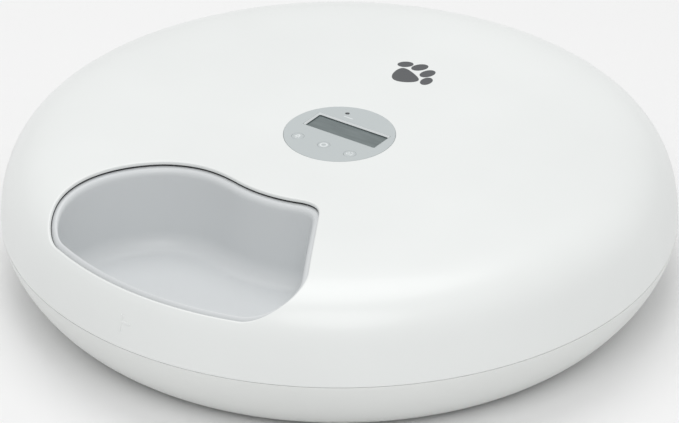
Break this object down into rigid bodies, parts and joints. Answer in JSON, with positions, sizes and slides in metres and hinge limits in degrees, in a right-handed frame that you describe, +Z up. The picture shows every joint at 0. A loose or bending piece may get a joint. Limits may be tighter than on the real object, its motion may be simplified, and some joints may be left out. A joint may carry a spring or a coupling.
{
  "type": "automatic pet feeder",
  "caption": "Low round timed pet feeder: a turning tray of food pockets under a domed lid with one opening and a round control panel in its middle.",
  "frame": {"origin": "middle of the resting plane, under the middle of the feeder", "axes": "+Z up, -Y the front with the lid opening, +X the right-hand side seen from the front"},
  "size_m": [0.38, 0.38, 0.09],
  "materials": {
    "shell_white": "satin",
    "tray_grey": "satin",
    "panel_grey": "satin",
    "inner_grey": "matte",
    "gear_white": "satin",
    "rubber_black": "matte",
    "screw_steel": "satin",
    "part_steel": "satin",
    "window_dark": "gloss",
    "display_dark": "gloss",
    "board_green": "satin",
    "lens_dark": "gloss"
  },
  "bodies": {
    "base": {"base_shell": "shell_white", "deck_plate": "inner_grey", "hub_housing": "inner_grey", "rubber_foot_0": "rubber_black", "rubber_foot_1": "rubber_black", "rubber_foot_2": "rubber_black", "rubber_foot_3": "rubber_black", "rubber_foot_4": "rubber_black", "gearbox": "inner_grey", "motor_can": "part_steel", "index_sensor": "rubber_black", "hub_screw_1": "screw_steel", "deck_screw_1": "screw_steel", "hub_screw_2": "screw_steel", "deck_screw_2": "screw_steel", "hub_screw_3": "screw_steel", "deck_screw_3": "screw_steel", "motor_screw_1": "screw_steel", "motor_screw_2": "screw_steel", "control_panel": "panel_grey", "display_window": "window_dark", "display_module": "display_dark", "control_board": "board_green", "status_lens": "lens_dark", "sounder": "rubber_black", "tact_switch_left": "rubber_black", "tact_switch_middle": "rubber_black", "tact_switch_right": "rubber_black", "contact_front": "part_steel", "contact_rear": "part_steel", "battery_cell_1": "part_steel", "battery_cell_2": "part_steel", "battery_cell_3": "part_steel", "battery_cell_4": "part_steel"},
    "lid": {"lid_shell": "shell_white"},
    "turntable": {"food_tray": "tray_grey", "drive_ring": "gear_white", "index_magnet_1": "part_steel", "index_magnet_2": "part_steel", "index_magnet_3": "part_steel", "index_magnet_4": "part_steel", "index_magnet_5": "part_steel"},
    "pinion": {"drive_pinion": "gear_white", "pinion_shaft": "part_steel"},
    "battery_door": {"battery_door": "shell_white"},
    "button_left": {"button_left": "panel_grey"},
    "button_middle": {"button_middle": "panel_grey"},
    "button_right": {"button_right": "panel_grey"}
  },
  "joints": [
    {"name": "lid_lift", "type": "slide", "parent": "base", "child": "lid", "axis": [0, 0, 1], "range_m": [0, 0.12]},
    {"name": "tray_turn", "type": "hinge", "parent": "base", "child": "turntable", "pos_m": [0, 0, 0.012], "axis": [0, 0, 1], "continuous": true},
    {"name": "pinion_turn", "type": "hinge", "parent": "base", "child": "pinion", "pos_m": [0, 0.048, 0.012], "axis": [0, 0, 1], "continuous": true},
    {"name": "door_slide", "type": "slide", "parent": "base", "child": "battery_door", "axis": [0, 1, 0], "range_m": [0, 0.007]},
    {"name": "press_left", "type": "slide", "parent": "base", "child": "button_left", "axis": [0, 0, -1], "range_m": [0, 0.0008], "stiffness_N_per_m": 200},
    {"name": "press_middle", "type": "slide", "parent": "base", "child": "button_middle", "axis": [0, 0, -1], "range_m": [0, 0.0008], "stiffness_N_per_m": 200},
    {"name": "press_right", "type": "slide", "parent": "base", "child": "button_right", "axis": [0, 0, -1], "range_m": [0, 0.0008], "stiffness_N_per_m": 200}
  ],
  "couplings": [
    {"joint": "pinion_turn", "follows": "tray_turn", "ratio": 5}
  ]
}
